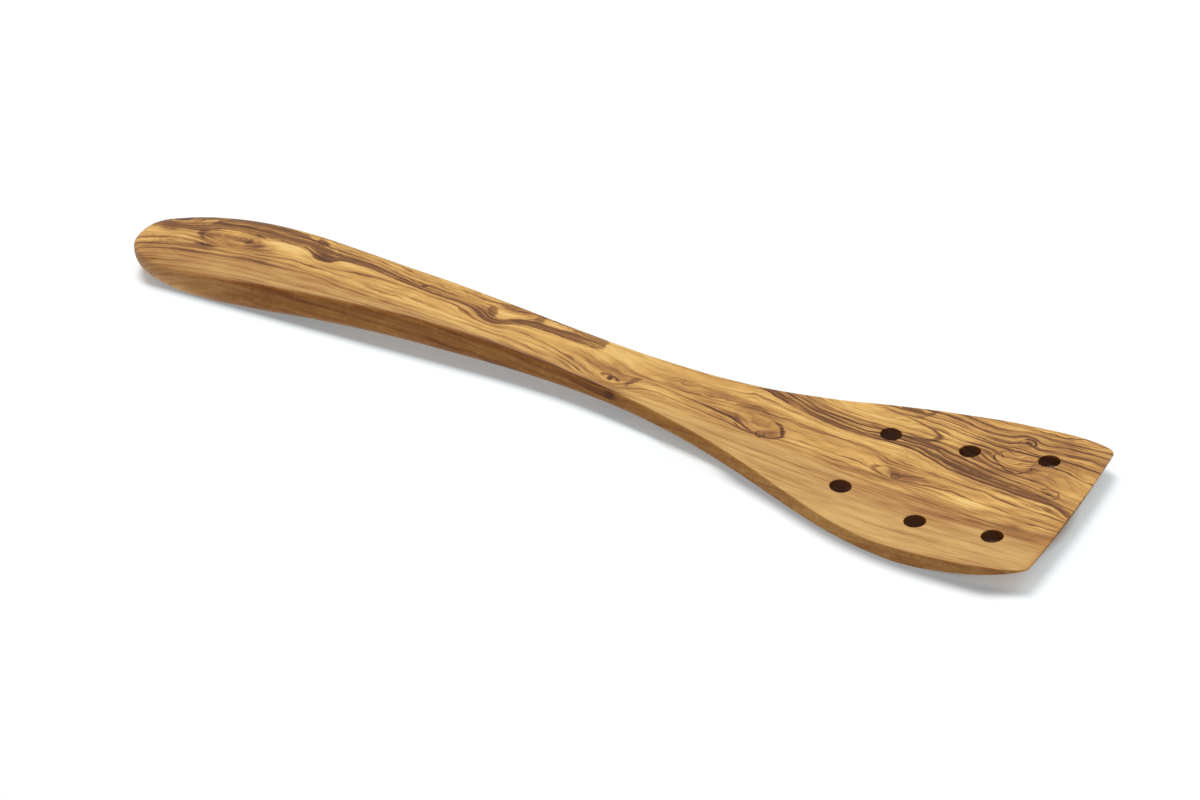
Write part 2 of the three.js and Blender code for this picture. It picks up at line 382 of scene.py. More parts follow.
# The figure of the wood, in millimetres in the shared frame, seen from above.
# Growth lines from the near side to the far side. Each runs the whole length: place along the tool, place
# across it, and how dark the line is there.
GROWTH_LINES = (
    ((-150, -42, 0), (150, -42, 0)),
    ((-150, -26, 0.3), (-100, -25, 0.3), (0, -22, 0.6), (60, -24, 0.3), (100, -27, 0.25),
     (150, -30, 0.2)),
    ((-150, -20, 0.1), (-110, -18.5, 0.2), (0, -16.5, 0.8), (13, -17.5, 0.8), (40, -16, 0.4),
     (60, -16.5, 0.15), (150, -23, 0.2)),
    ((-150, -15, 0.3), (-110, -13.5, 0.35), (-50, -12.5, 0.8), (0, -13, 0.9), (13, -14, 0.9),
     (30, -12.5, 0.5), (60, -12.5, 0.3), (150, -19, 0.4)),
    ((-150, -11.5, 0.5), (-134.6, -9, 0.7), (-122, -8.2, 0.7), (-110, -7, 0.7), (-84, -6.8, 0.6),
     (-76, -7.8, 0.6), (0, -10.9, 0.6), (9, -11.5, 0.8), (30, -10.4, 0.4), (62, -7, 0.4),
     (85, -8.7, 0.55), (97, -9.3, 0.5), (135, -14.5, 0.6), (150, -15.6, 0.5)),
    ((-150, -8.5, 0.5), (-96, -4.4, 0.6), (-84, -4.8, 0.5), (-76, -5.9, 0.5), (-50, -7.4, 0.4),
     (-20, -7, 0.4), (-8, -7.6, 0.5), (8, -10.6, 0.6), (12, -10.6, 0.6), (18, -8.9, 0.5),
     (30, -6.4, 0.4), (56, -6.7, 0.3), (64, -6, 0.3), (98, -6.6, 0.5), (108, -7.4, 0.3),
     (116, -9.6, 0.2), (135, -12.4, 0.5), (150, -13.6, 0.5)),
    ((-150, -5.6, 0.5), (-143, -5, 0.7), (-135, -2.8, 0.7), (-130, -2.8, 0.6), (-125, -3.7, 0.7),
     (-117, -3.4, 0.5), (-107, -3.2, 0.7), (-93, -1.8, 0.7), (-85, -2.4, 0.6), (-37, -5.6, 0.4),
     (-33, -6.2, 0.4), (-16, -5, 0.5), (0, -7.5, 0.7), (5, -9.2, 0.7), (10, -9.8, 0.8),
     (14, -9.2, 0.7), (26, -5, 0.6), (44, -5.2, 0.6), (57, -6.5, 0.5), (62, -4.9, 0.4),
     (70, -4.2, 0.3), (98, -5.7, 0.5), (106, -5.4, 0.4), (114, -6.6, 0.2), (125, -9.2, 0.3),
     (150, -12, 0.5)),
    ((-150, -2.8, 0.3), (-140, -1.8, 0.5), (-133, -0.6, 0.7), (-117, -2.4, 0.5), (-107, -1.8, 0.5),
     (-100, -0.5, 0.3), (-93, -0.2, 0.2), (-86, -0.8, 0.4), (-73, 1, 0.6), (-55, 0.3, 0.8),
     (-43, -0.6, 0.7), (-38, -2, 0.8), (-34, -3.8, 0.8), (-29, -4.1, 0.8), (-20, -2.2, 0.6),
     (-1.5, -5.4, 0.7), (11, -8.9, 0.7), (15, -7.4, 0.8), (18, -3.8, 0.8), (21, -2.4, 0.8),
     (30, -2, 0.7), (40, -2.5, 0.8), (48, -3.3, 0.9), (58, -6, 0.8), (64, -3, 0.4), (80, -1.6, 0.4),
     (88, -2.2, 0.6), (92, -3.8, 0.7), (98, -4.8, 0.6), (110, -4, 0.5), (130, -7.4, 0.5), (150, -9.8, 0.5)),
    ((-150, 1, 0.3), (-146, 1.5, 0.8), (-138.5, 1.5, 0.9), (-136.5, 2.9, 0.8), (-131.5, 3.4, 0.8),
     (-124.6, 6.2, 0.7), (-119, 6.9, 0.6), (-113, 6.3, 0.6), (-101, 6.2, 0.7), (-92.7, 3.8, 0.6),
     (-90.8, 2.2, 0.6), (-88.5, 1.6, 0.6), (-85.4, 2.2, 0.6), (-83.8, 4, 0.7), (-80.8, 4.8, 0.8),
     (-52, 1.6, 1), (-38.5, 0.8, 0.9), (-31.5, -2.5, 1), (-29, -2.6, 1), (-24, 0.8, 0.9),
     (-14, 2.5, 0.8), (0, 2.8, 0.6), (3, 2.6, 0.3), (10, 0.8, 0.2), (17, -0.9, 0.4), (22, -0.8, 0.3),
     (36, 0.8, 0.3), (46, 3, 0.6), (55, 5, 0.6), (72, 4.9, 0.6), (79.5, 5.3, 0.6), (89, 4.4, 0.6),
     (95, 2.4, 0.6), (104, 2, 0.5), (120.5, -0.5, 0.6), (131, -3.5, 0.7), (150, -6.8, 0.7)),
    ((-150, 6, 0.4), (-143, 4.5, 0.7), (-138, 5, 0.7), (-126, 9, 0.7), (-119, 9.5, 0.6),
     (-110, 9, 0.6), (-100, 9, 0.6), (-88, 7, 0.7), (-76, 6.9, 0.9), (-61, 3.6, 0.9), (-40, 2.2, 0.6),
     (-35, 1, 0.7), (-29.5, -1.2, 0.8), (-24, 2, 0.8), (-15, 4.4, 0.6), (-9, 4.8, 0.7), (2, 5.6, 0.4),
     (10, 4.4, 0.1), (20, 4.6, 0.1), (45, 9, 0.2), (50, 10.4, 0.3), (74, 8.4, 0.3), (97, 8.2, 0.3),
     (108, 4.9, 0.3), (119, 1.9, 0.4), (137, -1.8, 0.4), (150, -5.6, 0.4)),
    ((-150, 8.4, 0.4), (-144, 7, 0.7), (-138, 8, 0.8), (-126, 12, 0.6), (-100, 11.4, 0.5),
     (-90, 9.6, 0.8), (-76, 8.4, 0.9), (-68, 6.9, 0.9), (-60, 4.6, 0.8), (-55, 4.2, 0.3),
     (-35, 3, 0.5), (-29, 1.5, 0.3), (-20, 5.2, 0.4), (-15, 6, 0.2), (2, 7.4, 0.4), (20, 7.2, 0.2),
     (45, 12.8, 0.1), (50, 14.2, 1), (53.6, 13.4, 1), (60, 12.4, 1), (66, 11.1, 1), (81, 10.1, 1),
     (92, 11.1, 1), (114, 4.9, 1), (137, 0.1, 0.9), (143, -0.7, 0.9), (150, -4.4, 0.9)),
    ((-150, 11, 0.3), (-94, 13, 0.4), (-85, 10.6, 0.7), (-76, 10, 0.8), (-66, 8, 0.7), (-58, 6.4, 0.3),
     (-40, 4.9, 0.4), (-31, 4.6, 0.9), (-25, 6.6, 0.9), (-19, 8, 0.8), (0, 9.4, 0.5), (20, 9.6, 0.2),
     (35, 11.4, 0.3), (46, 14.6, 0.5), (50, 15.8, 1), (54, 15, 0.9), (60, 13.9, 0.9),
     (66, 12.3, 0.9), (81, 11.2, 0.9), (86, 11.9, 0.9), (98, 12.3, 0.9), (103, 10.5, 0.9),
     (114, 6.4, 0.9), (130, 2.4, 0.9), (143, 0.2, 0.8), (150, -3, 0.8)),
    ((-150, 16, 0), (-50, 11, 0.3), (0, 12, 0.2), (30, 14, 0.2), (47, 17, 0.5), (51, 17.4, 0.9),
     (66, 13.8, 0.9), (81, 12.7, 0.8), (87, 13.5, 0.9), (99, 13.8, 0.9), (109, 10.4, 0.9),
     (124, 6, 0.9), (140, 2.2, 0.8), (150, -0.8, 0.8)),
    ((-150, 20, 0), (0, 16, 0), (48, 18.6, 0.6), (60, 17, 0.9), (69, 14.5, 0.9), (77, 14.4, 0.9),
     (84, 15.2, 0.9), (97, 15.4, 1), (110, 12.4, 1), (125, 7.8, 0.9), (134, 5.8, 0.9),
     (150, 1.4, 0.7)),
    ((-150, 24, 0), (50, 20.6, 0.5), (56, 20, 0.7), (71, 16.2, 0.8), (78, 16.2, 0.8), (85, 17, 0.7),
     (100, 17, 0.9), (117, 12.6, 0.9), (123, 10.4, 0.8), (136, 8.4, 0.7), (142, 6, 0.7),
     (150, 3.6, 0.7)),
    ((-150, 27, 0), (50, 23, 0.3), (60, 21.4, 0.4), (68, 18.8, 0.5), (76, 18.4, 0.5), (92, 19.4, 0.6),
     (103, 19.4, 0.8), (114, 17, 0.7), (122, 12.8, 0.8), (128, 11.8, 0.8), (133, 12.4, 0.8),
     (140, 10.6, 0.6), (150, 7, 0.6)),
    ((-150, 30, 0), (50, 26, 0.2), (62, 23.2, 0.3), (72, 20.8, 0.4), (90, 22, 0.5), (98, 22.8, 0.7),
     (102, 22.4, 0.9), (106, 20.8, 0.7), (117, 19.4, 0.8), (122, 17.6, 0.6), (134, 17.4, 0.6),
     (150, 13, 0.6)),
    ((-150, 33, 0), (50, 29, 0.2), (70, 24.2, 0.3), (97, 25.6, 0.8), (110, 23.2, 0.9),
     (130, 20.8, 0.8), (138, 21, 0.7), (150, 18.8, 0.7)),
    ((-150, 36, 0), (50, 32, 0), (85, 27.4, 0.8), (92, 28, 0.9), (100, 28, 0.8), (112, 25, 0.8),
     (120, 24.2, 0.8), (125, 25.8, 0.9), (130, 24, 0.8), (142, 24, 0.7), (150, 22.6, 0.7)),
    ((-150, 38, 0), (50, 35, 0), (90, 30.4, 0.9), (98, 30.6, 0.8), (118, 26.8, 0.7), (125, 29, 0.8),
     (131, 26.8, 0.7), (140, 27, 0.7), (150, 26, 0.7)),
    ((-150, 40, 0), (50, 38, 0), (95, 33, 0.8), (103, 32.8, 0.8), (110, 31, 0.8), (118, 29.8, 0.7),
     (125, 31, 0.6), (132, 29.8, 0.6), (150, 28.8, 0.6)),
    ((-150, 43, 0), (50, 41, 0), (100, 36, 0.6), (120, 32.8, 0.6), (150, 31.2, 0.6)),
    ((-150, 50, 0), (150, 46, 0)),
)

# Least gap between two lines, the breadth that holds them all, and the samples of a line's mean place
LEAST_GAP = 0.5
LINES_SPREAD = 110
MEAN_SAMPLES = 61

# Dark heartwood streaks: place along the tool, near edge and far edge of the streak
DARK_STREAKS = (
    ((-131, 4.5, 5.5), (-127, 5.6, 12), (-122, 7.4, 15), (-113, 7, 15), (-100, 6.6, 13), (-96, 6, 10.8),
     (-93.5, 4.8, 9.8), (-92, 2.9, 9.4), (-90, 2, 9.2), (-86.5, 1.9, 8.2), (-84.8, 2.7, 7.9),
     (-83.4, 4.7, 7.6), (-76, 5.4, 7), (-68, 4.6, 5.8), (-60, 2.9, 4), (-52, 1.4, 2.6), (-45, 1.2, 2.2),
     (-38, 0.4, 1.8), (-33, -1.9, 0.8), (-30, -2.6, -0.4), (-27, -2.2, 0.8), (-24, -0.2, 2.6),
     (-20, 1.6, 4.8), (-15, 2.4, 4.6), (-9, 2.7, 6), (-5, 2.9, 11), (0, 3, 11), (2.3, 3.6, 9),
     (3.2, 4.4, 7.6)),
    ((-148, 1.8, 7), (-142, 2, 5), (-137, 2.9, 5), (-131, 3.8, 7), (-127, 5.4, 8)),
    ((-143, 6.5, 8.5), (-137, 8.5, 10.5), (-131, 10.5, 12.5), (-127, 11.8, 12.4)),
    ((-95.5, 10.6, 13), (-93, 9.4, 12.6), (-91, 9, 11)),
    ((-33.4, 2.4, 5), (-31.6, 0.2, 4.9), (-29.8, -1.5, 2.4)),
    ((-19.6, 3, 7), (-18.4, 4, 9), (-17, 5, 8)),
    ((-15, 7.4, 9.4), (-9, 7.2, 9.4), (-4, 6.6, 9.4)),
    ((15.6, -7.4, -6.6), (16.4, -7.4, -3.2), (17.6, -5, -2), (19, -2.8, -1.8)),
    ((58.6, 2.2, 3.2), (61, 0.6, 2.2), (62.6, -2.2, 0.2), (63.6, -3.4, -2)),
    ((49.5, 15, 16.8), (53.6, 13.6, 15.8), (60, 12.6, 14.4), (66.4, 11.2, 12.6), (73.6, 10.2, 11.4),
     (81, 10.2, 11.4), (86.4, 10.8, 12.2), (93.6, 11.2, 12.6), (98, 11.2, 13.4), (102.7, 9.5, 12.4),
     (108.2, 7.7, 10.2), (113.6, 5.4, 8.2), (119, 3.8, 6.6), (124.5, 2.7, 5.2), (130, 1.4, 3.8),
     (137.3, 0.2, 2.6), (143, -0.7, 1.4), (150, -4.6, -1.5)),
    ((88, 14.6, 15.6), (94, 14.2, 15.8), (99, 13.8, 15.8), (104, 13.2, 14.8)),
    ((86, 26.5, 28.5), (90, 26.8, 31), (93.5, 26.4, 29), (96, 29, 32)),
)
STREAK_EDGE = 1.2

# Soft oval patches in order along the tool: place, half length, half width, and how much paler (+) or
# browner (-) the wood is there. Two of them are painted light and shade on the blade's near side, marked
# below.
PATCHES = (
    (-144, -1, 5, 2.4, 0.5), (-140, -13, 5, 2, -0.5), (-140, 0.6, 3, 1.2, -0.7), (-139, 6, 9, 4, -0.5),
    (-138, -4, 5, 1, -0.8), (-135, -0.5, 5, 1.6, 0.5), (-132, -10, 10, 1.4, -0.9), (-130, -17, 12, 3, -0.4),
    (-130, -1.4, 6, 1.4, 0.5), (-129, -5, 3, 2, -0.6), (-127, 2.2, 3, 1.6, -0.9),
    (-125, -4, 3.4, 1.6, -0.9), (-122, -9.6, 14, 1.6, -0.5), (-121, 5.6, 6, 1.4, 0.7),
    (-120, -1.5, 26, 5, -0.25), (-119, 0.4, 6, 2.2, 0.5), (-118, -7.6, 26, 1.3, -0.5),
    (-117, 1.4, 9, 2.4, -0.5), (-111.5, 4.8, 3, 1.4, 0.8), (-109.5, 1.4, 3, 2, -0.9),
    (-108, 10, 14, 2.5, 0.2), (-107, -6.2, 7, 1.3, -1), (-100, 4, 8, 2.4, 0.9), (-98, -3.6, 9, 1, -0.7),
    (-98, 0.4, 10, 1.2, 0.6), (-96, -7.6, 8, 1.2, 0.5), (-95, -17.2, 12, 0.8, -1),
    (-90, -3.4, 18, 0.9, 0.5), (-89, 3.8, 3.6, 1.6, -1), (-88, -14, 12, 1.2, 0.5), (-82, 4, 4, 1, 0.5),
    (-80, 3.2, 6, 1.2, 0.4), (-75, -15.2, 12, 0.8, -0.6), (-73, 0.6, 6, 1.4, -0.7),
    (-68, -11.4, 12, 1.2, 0.5), (-68, 9, 16, 2, 0.2), (-60, -2, 22, 1.2, 0.3), (-55, -6.2, 14, 1.6, 0.5),
    (-45, -6, 26, 1.2, 0.5), (-38, -2, 4, 1, -0.5), (-34, 1.4, 3.4, 1.8, -0.7), (-28, -8.6, 18, 1, 0.5),
    (-28, 2.8, 4.6, 1.1, 0.8), (-24, 6.6, 6, 1.4, -0.8), (-23, 1.6, 3, 1.2, -0.7),
    (-20, -10.8, 24, 0.9, -1.2), (-20, 0.2, 14, 1.2, 0.6), (-14, 6, 3.6, 1.6, 0.6), (-12, -5, 8, 2.6, 0.7),
    (4, -10, 8, 1.2, 0.7), (8, -12.6, 9, 2.4, -1), (8, -3, 8, 2.2, -0.9), (8, 4.5, 12, 4, 0.6),
    (13, -5.4, 3, 1.6, -0.7), (13.6, -13.2, 1.7, 1, -2.5), (24, -9.4, 8, 0.7, 0.6),
    (25, -4.6, 6, 1.4, 0.8), (26, 2, 5, 1.6, -0.6), (26, 5, 11, 2, -0.4), (30, -11.4, 13, 1, 0.8),
    (32, -6, 22, 3, -0.3), (33, -3.2, 4, 1, -0.5), (35, 9, 16, 2.6, 0.25), (38, -19, 22, 6, 0.6),
    (42, 3.5, 10, 2, -0.2), (44, -0.6, 10, 2.6, -0.9), (46, -9.6, 12, 0.8, 0.7), (48, -2, 6, 1.2, -0.6),
    (48, 11.6, 8, 1.4, 0.5), (50, 6, 10, 2, -0.7), (52, 4, 8, 1.4, -0.7), (58, 9.4, 8, 1, 0.5),
    (60, -3.2, 3, 2, -1), (60, 13.6, 3, 2.4, 0.5), (61, 0.5, 3, 2.5, -0.4), (62, 17.4, 4, 1.5, -0.5),
    (66, 8.2, 30, 1.3, 0.5), (73, 21, 11, 4, 0.5), (75, 2, 11, 2.2, 0.1), (80, -6.5, 30, 1.8, -0.1),
    # (86, -31, 16, 4, 0.7) lightens the blade's near side: painted light
    (80, 1, 14, 2.5, -0.4), (85, -20, 60, 5, 0.15), (86, -31, 16, 4, 0.7), (90.5, -3.4, 3, 1.6, 0.7),
    (92, 9.8, 7, 1, 0.5), (96, 12.6, 5, 2, 0.5), (98, 21.5, 4, 2.6, 0.1), (99, -3, 8, 2, -0.35),
    (100, -5, 5, 1, 0.4), (100, 15, 14, 2.5, -0.2), (104, -27, 38, 5, 0.6), (105, 20, 6, 4, 0.8),
    (105, 30, 10, 2.5, -0.2), (106, -1.6, 4, 1, -0.6), (107, 6.2, 4, 1, 0.5), (110, -11.6, 20, 1.8, -0.7),
    (110, 3.6, 12, 1.5, 0.45), (112, -2.4, 7, 1, -0.6), (112, 10, 14, 4, -0.2), (113, -8.6, 6, 1.2, -0.5),
    (117, 18, 2.5, 1.5, -0.5), (118, 31.5, 14, 1.2, 0.5), (121, 9.6, 5, 1.4, -0.5),
    (122, -7.4, 8, 2.3, 1.2), (124, 2, 4, 1.4, 0.6), (125, -3.6, 24, 1.8, -0.2), (126, 15, 5.5, 3, 0.1),
    (127, 20.5, 4, 1.5, 0.7), (128, 18.4, 3, 1.6, 0.5), (128, 22, 28, 14, -0.5), (130, -16, 24, 2.2, -0.9),
    (132, -11.4, 6, 1.2, 0.5), (132, -6.2, 6, 1, -0.4), (132, 14.2, 2, 1.5, -0.6),
    (135, -1.6, 14, 1.2, 0.6), (136, -4.2, 12, 1.2, 0.4), (137, 29, 5, 4, -0.5), (138, -13, 2, 1.4, -0.5),
    (138, -6.6, 10, 1.3, 0.2), (138, 15.5, 7, 2, 0.5), (140, -5, 12, 1, 0.4), (144, -19, 7, 4, -0.7),
    # (145, -36, 5, 1.6, -1) darkens the blade's near front corner: painted shade on its side
    (145, -36, 5, 1.6, -1), (145, -2.4, 5, 1.2, -0.5), (146, -11.8, 5, 1.5, 0.7), (147, 6, 5, 2, 0.5),
    (147, 12.5, 4, 2, 0.5),
)

# Strength of the fine growth lines: soft patches as above, stronger (+) or weaker (-)
LINE_PATCHES = (
    (-103, 4, 10, 2.4, -0.9), (-70, -3, 45, 5, -0.35), (8, 4, 10, 3, -0.4), (22, 6, 26, 5, -0.6),
    (70, 7.6, 30, 2, -0.5), (75, 2, 12, 2.5, -0.5), (75, 14, 25, 4, 0.3), (84, 20, 16, 3, -0.5),
    (125, 22, 32, 14, 0.3), (143, 9, 8, 6, -0.7),
)

# Levels between which the grain turns from the plain strip along the near side to the figured part
PLAIN_SPAN = (-12, -6)

# Growth layers lean through the thickness by this much across for each millimetre down.
LAYER_LEAN = 0.8

# The handle's figure lies this much nearer to the far side than it is written above, between these places.
HANDLE_SHIFT = 0.9
SHIFT_STARTS = (-135, -105)
SHIFT_ENDS = (10, 90)

# Sawn sides, in places from the butt. Their brown is partly the sawn grain's own darker tone and partly
# painted shade on faces that turn away from the top. A face turns into a side between these shares of facing
# straight up or down, on the handle, the butt and the blade. Its brown is weaker on the butt and the blade,
# stronger on the nose, and gone at the tip where the face looks ahead.
NOSE_SPAN = (2, 24)
FLARE_SPAN = (LENGTH - 110, LENGTH - 70)
TIP_SPAN = (LENGTH - 4, LENGTH - 0.5)
TIP_FACING = (0.5, 0.85)
SIDE_ON_HANDLE = (0.84, 0.99)
SIDE_ON_BUTT = (0.25, 0.68)
SIDE_ON_BLADE = (0.5, 0.93)
BUTT_LOSS = 0.75
NOSE_GAIN = 0.3
BLADE_LOSS = 0.2

# The front edge takes a burnish together with painted light for the lit edge between these places from the
# butt, and fades out across it between these.
BURNISHED_LIT_AHEAD = (LENGTH - 2.2, LENGTH - 0.8)
BURNISHED_LIT_ASIDE = (-20, 12)

# Bores' dark, drilling burn with painted shade: its share at their upper rims, and how softly it ends round
# them
RIM_DARK = 0.75
BORE_EDGE = 0.15


def smooth_through(points, x):
    """A smooth line through points, level at its turns, as a function of x."""
    px, py = np.array(points, float).T
    rise = np.diff(py) / np.diff(px)
    slope = np.concatenate([rise[:1], np.zeros(len(px) - 2), rise[-1:]])
    before, after = rise[:-1], rise[1:]
    same_way = before * after > 0
    total = np.where(same_way, before + after, 1)
    slope[1:-1] = np.where(same_way, 2 * before * after / total, 0)
    i = np.clip(np.searchsorted(px, x) - 1, 0, len(px) - 2)
    run = px[i + 1] - px[i]
    t = np.clip((x - px[i]) / run, 0, 1)
    ends = (1 + 2 * t) * (1 - t) ** 2 * py[i] + t * t * (3 - 2 * t) * py[i + 1]
    return ends + run * (t * (1 - t) ** 2 * slope[i] + t * t * (t - 1) * slope[i + 1])


def streaked(x, y):
    """How deep each point lies in a dark streak: 0.5 at a streak's edge, 1 well inside and 0 well outside."""
    most = np.zeros_like(x)
    for streak in DARK_STREAKS:
        near = smooth_through([(at, low) for at, low, high in streak], x)
        far = smooth_through([(at, high) for at, low, high in streak], x)
        past_end = np.maximum(streak[0][0] - x, x - streak[-1][0])
        inside = np.minimum(np.minimum(y - near, far - y), -past_end)
        most = np.maximum(most, np.clip(0.5 + inside / (2 * STREAK_EDGE), 0, 1))
    return most


def patched(x, y, patches):
    """Sum of soft oval patches."""
    total = np.zeros_like(x)
    for at_x, at_y, half_length, half_width, amount in patches:
        total += amount * np.exp(-((x - at_x) / half_length) ** 2 - ((y - at_y) / half_width) ** 2)
    return total


def sawn_sides_and_shade(from_butt, normals):
    """How much sawn-side brown each point has: partly the sides' own tone, partly painted shade."""
    butt = 1 - smoothstep(from_butt, BUTT_REST_START, EDGE_SETTLES_AT)
    nose = 1 - smoothstep(from_butt, *NOSE_SPAN)
    flared = smoothstep(from_butt, *FLARE_SPAN)
    tip = smoothstep(from_butt, *TIP_SPAN) * smoothstep(normals[:, 0], *TIP_FACING)
    least, most = (
        handle + (at_butt - handle) * butt + (at_blade - handle) * flared
        for handle, at_butt, at_blade in zip(SIDE_ON_HANDLE, SIDE_ON_BUTT, SIDE_ON_BLADE)
    )
    side_on = 1 - smoothstep(np.abs(normals[:, 2]), least, most)
    return side_on * (1 - BUTT_LOSS * butt + NOSE_GAIN * nose - BLADE_LOSS * flared - tip)


def bored_and_shaded(from_butt, y, depth):
    """How dark burn and painted shade make each point: 1 down in a bore, less at its upper rim and 0 outside.
    """
    most = np.zeros_like(y)
    dark = RIM_DARK + (1 - RIM_DARK) * smoothstep(depth, RIM_ROUNDING, 3 * RIM_ROUNDING)
    for hole_x, hole_y in hole_centres():
        off = np.hypot(from_butt - hole_x, y - hole_y)
        most = np.maximum(most, dark * (1 - smoothstep(off, HOLE_RADIUS, HOLE_RADIUS + BORE_EDGE)))
    return most


def paint_figure(body):
    """Stores the layers' slant, streaks, patches and cut faces at every point, for the wood's material."""
    mesh = body.data

    def read(name):
        values = np.empty(3 * len(mesh.vertices))
        mesh.vertices.foreach_get(name, values)
        return values.reshape(-1, 3)

    x, y, z = read("co").T / MM
    normals = read("normal")
    from_butt = x + LENGTH / 2
    depth = top_at(from_butt) - z
    aside = y - HANDLE_SHIFT * smoothstep(x, *SHIFT_STARTS) * (1 - smoothstep(x, *SHIFT_ENDS))
    layered = aside - LAYER_LEAN * depth
    stores = {
        "aside": aside,
        "across": layered,
        "dark": streaked(x, layered),
        "tone": patched(x, layered, PATCHES),
        "lines": patched(x, layered, LINE_PATCHES),
        # side: sawn-side brown, partly painted shade on faces turned away from the top
        "side": sawn_sides_and_shade(from_butt, normals),
        # bore: drilling burn together with painted shade inside the holes
        "bore_burn_and_shade": bored_and_shaded(from_butt, y, depth),
        # burnished: the front edge's burnish together with painted light for the lit edge
        "burnished_lit_edge": smoothstep(from_butt, *BURNISHED_LIT_AHEAD) * (1 - smoothstep(y, *BURNISHED_LIT_ASIDE)),
    }
    for name, values in stores.items():
        store = mesh.attributes.new(name, "FLOAT", "POINT")
        store.data.foreach_set("value", values.astype(np.float32))


def srgb(red, green, blue):
    """A colour written as it shows on a screen, from 0 to 255."""
    share = np.array([red, green, blue]) / 255
    linear = np.where(share <= 0.04045, share / 12.92, ((share + 0.055) / 1.055) ** 2.4)
    return (*linear.tolist(), 1)


class Value:
    """A node's output, which takes part in arithmetic."""

    def __init__(self, graph, socket):
        self.graph = graph
        self.socket = socket

    def __add__(self, other):
        return self.graph.math("ADD", self, other)

    def __sub__(self, other):
        return self.graph.math("SUBTRACT", self, other)

    def __mul__(self, other):
        return self.graph.math("MULTIPLY", self, other)

    def __truediv__(self, number):
        return self * (1 / number)

    def __abs__(self):
        return self.graph.math("ABSOLUTE", self)

    __radd__ = __add__


class Graph:
    """Builds a material's nodes. An input is a number, a vector, a colour or a value."""

    def __init__(self, material):
        self.tree = material.node_tree
        self.shader = self.tree.nodes["Principled BSDF"]

    def feed(self, node, inputs):
        for key, given in inputs.items():
            if isinstance(given, Value):
                self.tree.links.new(given.socket, node.inputs[key])
            else:
                node.inputs[key].default_value = given

    def node(self, kind, inputs, **settings):
        made = self.tree.nodes.new("ShaderNode" + kind)
        for key, setting in settings.items():
            setattr(made, key, setting)
        self.feed(made, inputs)
        return made

    def value(self, kind, inputs, output=0, **settings):
        """One output of a new node."""
        return Value(self, self.node(kind, inputs, **settings).outputs[output])

    def values(self, kind, inputs):
        """All outputs of a new node."""
        return [Value(self, output) for output in self.node(kind, inputs).outputs]

    def math(self, operation, *numbers):
        return self.value("Math", dict(enumerate(numbers)), operation=operation)

    def most(self, *numbers):
        return self.math("MAXIMUM", *numbers)

    def step(self, value, low, high, to_low=0, to_high=1):
        inputs = {"Value": value, "From Min": low, "From Max": high, "To Min": to_low, "To Max": to_high}
        return self.value("MapRange", inputs, interpolation_type="SMOOTHSTEP")

    def choose(self, condition, otherwise, value):
        return self.value("Mix", {"Factor": condition, 2: otherwise, 3: value}, data_type="FLOAT")

    def curves(self, value, *lines):
        """Smooth curves through points, each in its own channel. All places and heights are from 0 to 1."""
        made = self.node("RGBCurve", {"Color": value})
        for curve, (first, *between, last) in zip(made.mapping.curves, lines):
            curve.points[0].location = first
            curve.points[1].location = last
            for at, height in between:
                curve.points.new(at, height)
            for point in curve.points:
                point.handle_type = "AUTO_CLAMPED"
        made.mapping.update()
        return self.values("SeparateColor", {0: Value(self, made.outputs["Color"])})

    def stored(self, name):
        return self.value("Attribute", {}, "Fac", attribute_name=name)

    def noise(self, place, detail):
        return self.value("TexNoise", {"Vector": place, "Scale": 1, "Detail": detail}, "Fac")

    def vector(self, x, y, z):
        return self.value("CombineXYZ", {"X": x, "Y": y, "Z": z})

    def split(self, vector):
        return self.values("SeparateXYZ", {0: vector})

    def on_vectors(self, operation, *vectors, output="Vector"):
        return self.value("VectorMath", dict(enumerate(vectors)), output, operation=operation)

    def length(self, vector):
        return self.on_vectors("LENGTH", vector, output="Value")

    def place_in_mm(self):
        return self.on_vectors("MULTIPLY", self.value("TexCoord", {}, "Object"), (1 / MM,) * 3)

    def mix(self, share, first, second, blend="MIX"):
        inputs = {"Factor": share, 6: first, 7: second}
        return self.value("Mix", inputs, 2, data_type="RGBA", blend_type=blend)

    def ramp(self, value, stops):
        made = self.node("ValToRGB", {"Fac": value})
        elements = made.color_ramp.elements
        for at, colour in stops[1:-1]:
            elements.new(at).color = colour
        elements[0].position, elements[0].color = stops[0]
        elements[-1].position, elements[-1].color = stops[-1]
        return Value(self, made.outputs["Color"])


# Oval knots: place, half length, half width, turn in degrees, push on the grain round them, how pale (+) or
# brown (-) they are, how dark their outline is, and the way that its darkest side faces, in degrees
OVAL_KNOTS = (
    (-117, 1.8, 12.5, 4.2, -2, 3, -0.12, 0.5, 200),
    (-124.6, -3.9, 3.4, 1.4, 0, 1.2, -0.30, 0.2, 180),
    (-139, 8, 6, 3.5, 20, 2.4, -0.05, 0.4, 0),
    (11, -6.9, 2.6, 1.3, -6, 0.6, -0.1, 0.6, 90),
    (55.5, -1.8, 7.7, 4.6, -4, 1.4, -0.06, 0.75, -35),
    (99.3, -2.6, 8.5, 2.5, -4, 1.6, -0.28, 0.6, 200),
    (84, 20.8, 18, 4.6, -6, 2.6, 0.06, 0.8, 5),
    (125.6, 26, 2.6, 1.9, 10, 1.8, -0.1, 0.8, 30),
    (125.4, 16.2, 6.2, 4.6, -24, 1.5, 0.08, 0.7, 262),
    (140.5, 4.4, 3.6, 2.2, -15, 1.4, -0.18, 0.45, 60),
)

# How far a knot is felt, in its own sizes, and the half length from which it wobbles less. Its outline fades
# between these distances, and from its darkest side to the other.
KNOT_REACH = 1.25
KNOT_WOBBLES_TO = 5
OUTLINE_EDGE = (0.05, 0.5)
OUTLINE_FACING = (-0.7, 0.5, 0.15, 1)

